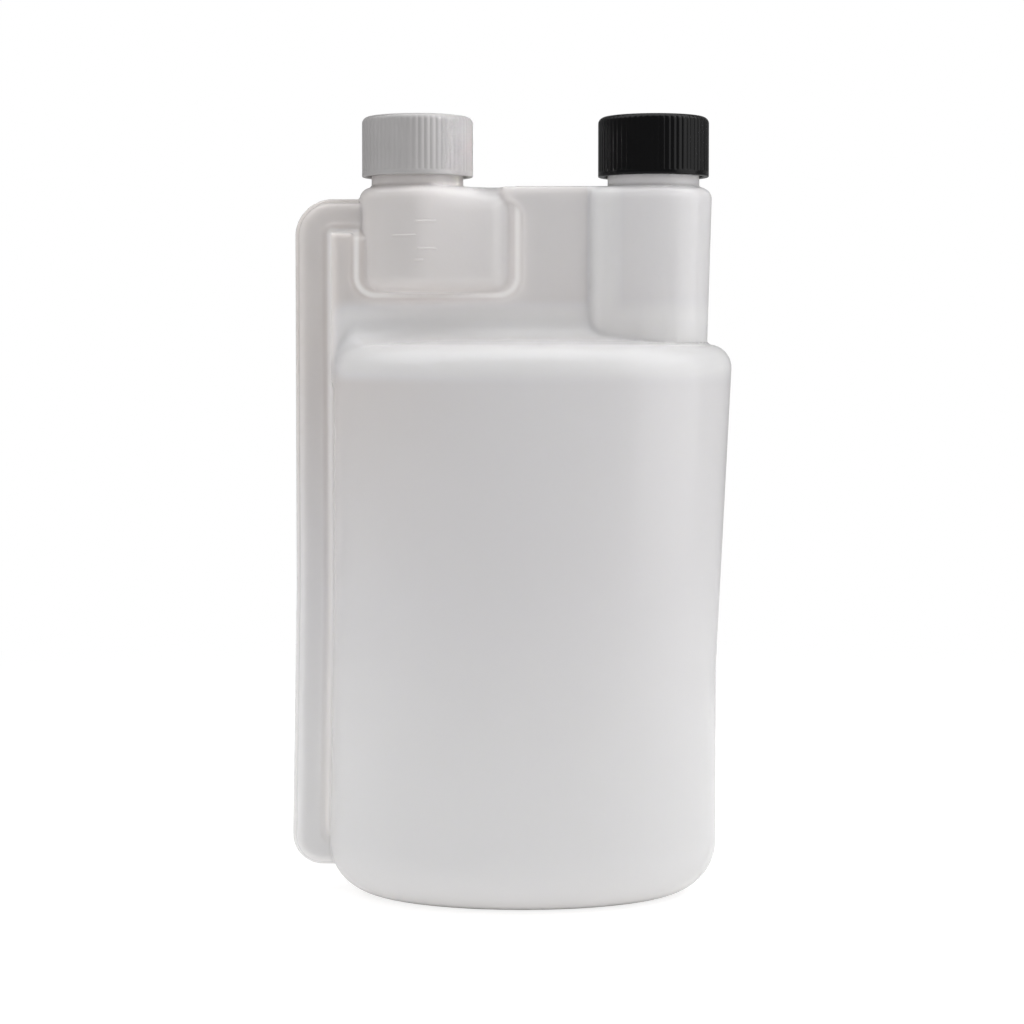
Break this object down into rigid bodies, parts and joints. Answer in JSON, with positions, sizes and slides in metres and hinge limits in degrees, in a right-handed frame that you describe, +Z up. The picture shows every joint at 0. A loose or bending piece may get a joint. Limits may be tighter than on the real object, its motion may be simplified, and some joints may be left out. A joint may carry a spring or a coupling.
{
  "type": "dosing bottle",
  "caption": "Squeeze dosing bottle of milky plastic: main chamber, side tube, measuring chamber under the left neck, filling neck on the right, ribbed screw caps.",
  "frame": {"origin": "middle of the bounding box in plan, at the height of the rim that the bottle stands on", "axes": "+Z up along the necks, -Y towards the front face, +X from the side tube towards the filling neck"},
  "size_m": [0.1204, 0.08, 0.2119],
  "materials": {
    "bottle_wall": "milky translucent, satin, as blown",
    "dose_cap_shell": "white, moulded, soft gloss",
    "fill_cap_shell": "black, moulded, gloss",
    "liner_foam": "white foam, matt"
  },
  "bodies": {
    "bottle": {"bottle": "bottle_wall"},
    "dose_liner": {"dose_cap_liner": "liner_foam"},
    "dose_cap": {"dose_cap": "dose_cap_shell"},
    "fill_liner": {"fill_cap_liner": "liner_foam"},
    "fill_cap": {"fill_cap": "fill_cap_shell"}
  },
  "joints": [
    {"name": "dose_cap_lift", "type": "slide", "parent": "bottle", "child": "dose_liner", "axis": [0, 0, 1], "range_m": [0, 0.0064]},
    {"name": "dose_cap_turn", "type": "hinge", "parent": "dose_liner", "child": "dose_cap", "pos_m": [-0.0256, 0, 0.2], "axis": [0, 0, 1], "range_deg": [0, 540]},
    {"name": "fill_cap_lift", "type": "slide", "parent": "bottle", "child": "fill_liner", "axis": [0, 0, 1], "range_m": [0, 0.0064]},
    {"name": "fill_cap_turn", "type": "hinge", "parent": "fill_liner", "child": "fill_cap", "pos_m": [0.0388, 0, 0.2], "axis": [0, 0, 1], "range_deg": [0, 540]}
  ],
  "couplings": [
    {"joint": "dose_cap_lift", "follows": "dose_cap_turn", "m_per_rad": 0.00067376},
    {"joint": "fill_cap_lift", "follows": "fill_cap_turn", "m_per_rad": 0.00067376}
  ]
}
